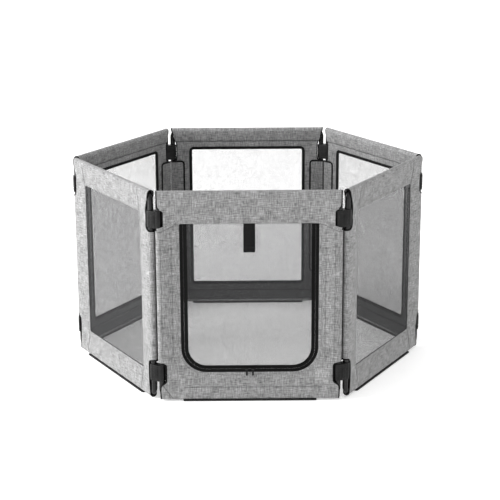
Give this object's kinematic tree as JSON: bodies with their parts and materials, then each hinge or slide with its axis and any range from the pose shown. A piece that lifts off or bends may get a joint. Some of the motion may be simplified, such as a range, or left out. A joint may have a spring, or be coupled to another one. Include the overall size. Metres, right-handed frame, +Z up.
{
  "type": "pet playpen",
  "caption": "Hexagonal soft-sided pet playpen: tube-framed fabric and mesh panels clamped at the corners, with a zipped mesh door.",
  "frame": {"origin": "centre of the hexagon, on the floor", "axes": "+Z up, -Y out through the middle of the door panel, +X to the right of someone who faces the door"},
  "size_m": [1.2384, 1.0888, 0.711],
  "materials": {
    "tube_paint": "black satin powder coat",
    "linen_fabric": "heather grey linen-look polyester",
    "mesh_net": "black open polyester net",
    "base_strip_plastic": "matt black",
    "clamp_plastic": "black, lightly textured",
    "slider_metal": "black lacquered zip slider",
    "pull_plastic": "black with a silver tip",
    "webbing": "black woven webbing",
    "zip_tape": "black zip tape"
  },
  "bodies": {
    "panel_front": {"frame_tube_front": "tube_paint", "cover_front": "linen_fabric", "base_strip_front": "base_strip_plastic", "zip_panel_side": "zip_tape"},
    "panel_front_right": {"frame_tube_front_right": "tube_paint", "cover_front_right": "linen_fabric", "base_strip_front_right": "base_strip_plastic", "mesh_front_right": "mesh_net"},
    "panel_back_right": {"frame_tube_back_right": "tube_paint", "cover_back_right": "linen_fabric", "base_strip_back_right": "base_strip_plastic", "mesh_back_right": "mesh_net"},
    "panel_back": {"frame_tube_back": "tube_paint", "cover_back": "linen_fabric", "base_strip_back": "base_strip_plastic", "mesh_back": "mesh_net", "clamp_upper_back_left": "clamp_plastic", "clamp_lower_back_left": "clamp_plastic", "corner_flap_back_left": "linen_fabric"},
    "panel_back_left": {"frame_tube_back_left": "tube_paint", "cover_back_left": "linen_fabric", "base_strip_back_left": "base_strip_plastic", "mesh_back_left": "mesh_net"},
    "panel_front_left": {"frame_tube_front_left": "tube_paint", "cover_front_left": "linen_fabric", "base_strip_front_left": "base_strip_plastic", "mesh_front_left": "mesh_net"},
    "corner_front_right": {"clamp_upper_front_right": "clamp_plastic", "clamp_lower_front_right": "clamp_plastic", "corner_flap_front_right": "linen_fabric"},
    "corner_right": {"clamp_upper_right": "clamp_plastic", "clamp_lower_right": "clamp_plastic", "corner_flap_right": "linen_fabric"},
    "corner_back_right": {"clamp_upper_back_right": "clamp_plastic", "clamp_lower_back_right": "clamp_plastic", "corner_flap_back_right": "linen_fabric"},
    "corner_left": {"clamp_upper_left": "clamp_plastic", "clamp_lower_left": "clamp_plastic", "corner_flap_left": "linen_fabric"},
    "corner_front_left": {"clamp_upper_front_left": "clamp_plastic", "clamp_lower_front_left": "clamp_plastic", "corner_flap_front_left": "linen_fabric"},
    "flap_back_left": {"corner_flap_back_left_free": "linen_fabric"},
    "door": {"door_mesh": "mesh_net", "zip_door_side": "zip_tape"},
    "door_strap": {"door_strap": "webbing"},
    "zip_slider_left": {"zip_slider_left": "slider_metal"},
    "zip_pull_left": {"zip_pull_left": "pull_plastic"},
    "zip_slider_right": {"zip_slider_right": "slider_metal"},
    "zip_pull_right": {"zip_pull_right": "pull_plastic"}
  },
  "joints": [
    {"name": "fold_front_right_a", "type": "hinge", "parent": "panel_front", "child": "corner_front_right", "pos_m": [0.28951, -0.53144, 0.3555], "axis": [0, 0, 1], "range_deg": [0, 60], "deforming": ["corner_flap_front_right"]},
    {"name": "fold_front_right_b", "type": "hinge", "parent": "corner_front_right", "child": "panel_front_right", "pos_m": [0.31549, -0.51645, 0.3555], "axis": [0, 0, 1], "range_deg": [0, 60], "deforming": ["corner_flap_front_right"]},
    {"name": "fold_right_a", "type": "hinge", "parent": "panel_front_right", "child": "corner_right", "pos_m": [0.605, -0.015, 0.3555], "axis": [0, 0, 1], "range_deg": [-120, 0], "deforming": ["corner_flap_right"]},
    {"name": "fold_right_b", "type": "hinge", "parent": "corner_right", "child": "panel_back_right", "pos_m": [0.605, 0.015, 0.3555], "axis": [0, 0, 1], "range_deg": [-120, 0], "deforming": ["corner_flap_right"]},
    {"name": "fold_back_right_a", "type": "hinge", "parent": "panel_back_right", "child": "corner_back_right", "pos_m": [0.31549, 0.51645, 0.3555], "axis": [0, 0, 1], "range_deg": [0, 60], "deforming": ["corner_flap_back_right"]},
    {"name": "fold_back_right_b", "type": "hinge", "parent": "corner_back_right", "child": "panel_back", "pos_m": [0.28951, 0.53144, 0.3555], "axis": [0, 0, 1], "range_deg": [0, 60], "deforming": ["corner_flap_back_right"]},
    {"name": "fold_front_left_a", "type": "hinge", "parent": "panel_front", "child": "corner_front_left", "pos_m": [-0.28951, -0.53144, 0.3555], "axis": [0, 0, 1], "range_deg": [0, 120], "deforming": ["corner_flap_front_left"]},
    {"name": "fold_front_left_b", "type": "hinge", "parent": "corner_front_left", "child": "panel_front_left", "pos_m": [-0.31549, -0.51645, 0.3555], "axis": [0, 0, 1], "range_deg": [0, 120], "deforming": ["corner_flap_front_left"]},
    {"name": "fold_left_a", "type": "hinge", "parent": "panel_front_left", "child": "corner_left", "pos_m": [-0.605, -0.015, 0.3555], "axis": [0, 0, 1], "range_deg": [-60, 0], "deforming": ["corner_flap_left"]},
    {"name": "fold_left_b", "type": "hinge", "parent": "corner_left", "child": "panel_back_left", "pos_m": [-0.605, 0.015, 0.3555], "axis": [0, 0, 1], "range_deg": [-60, 0], "deforming": ["corner_flap_left"]},
    {"name": "open_corner_flap", "type": "hinge", "parent": "panel_back", "child": "flap_back_left", "pos_m": [-0.29805, 0.51624, 0.3555], "axis": [0, 0, 1], "range_deg": [-60, 0]},
    {"name": "door_lift", "type": "hinge", "parent": "panel_front", "child": "door", "pos_m": [0, -0.53144, 0.603], "axis": [-1, 0, 0], "range_deg": [0, 120]},
    {"name": "door_strap_swing", "type": "hinge", "parent": "panel_front", "child": "door_strap", "pos_m": [0, -0.53324, 0.6055], "axis": [-1, 0, 0], "range_deg": [0, 120]},
    {"name": "zip_slide_left", "type": "slide", "parent": "door", "child": "zip_slider_left", "axis": [-1, 0, 0], "range_m": [0, 0.12]},
    {"name": "zip_slide_right", "type": "slide", "parent": "door", "child": "zip_slider_right", "axis": [1, 0, 0], "range_m": [0, 0.12]},
    {"name": "zip_pull_flip_left", "type": "hinge", "parent": "zip_slider_left", "child": "zip_pull_left", "pos_m": [-0.01, -0.53934, 0.109], "axis": [-1, 0, 0], "range_deg": [0, 150]},
    {"name": "zip_pull_flip_right", "type": "hinge", "parent": "zip_slider_right", "child": "zip_pull_right", "pos_m": [0.01, -0.53934, 0.109], "axis": [-1, 0, 0], "range_deg": [0, 150]}
  ],
  "couplings": [
    {"joint": "fold_right_a", "follows": "fold_right_b", "ratio": 1},
    {"joint": "fold_front_right_a", "follows": "fold_right_b", "ratio": -0.5},
    {"joint": "fold_front_right_b", "follows": "fold_right_b", "ratio": -0.5},
    {"joint": "fold_back_right_a", "follows": "fold_right_b", "ratio": -0.5},
    {"joint": "fold_back_right_b", "follows": "fold_right_b", "ratio": -0.5},
    {"joint": "fold_front_left_a", "follows": "fold_right_b", "ratio": -1},
    {"joint": "fold_front_left_b", "follows": "fold_right_b", "ratio": -1},
    {"joint": "fold_left_a", "follows": "fold_right_b", "ratio": 0.5},
    {"joint": "fold_left_b", "follows": "fold_right_b", "ratio": 0.5},
    {"joint": "open_corner_flap", "follows": "fold_right_b", "ratio": 0.5},
    {"joint": "door_strap_swing", "follows": "door_lift", "ratio": 1}
  ]
}
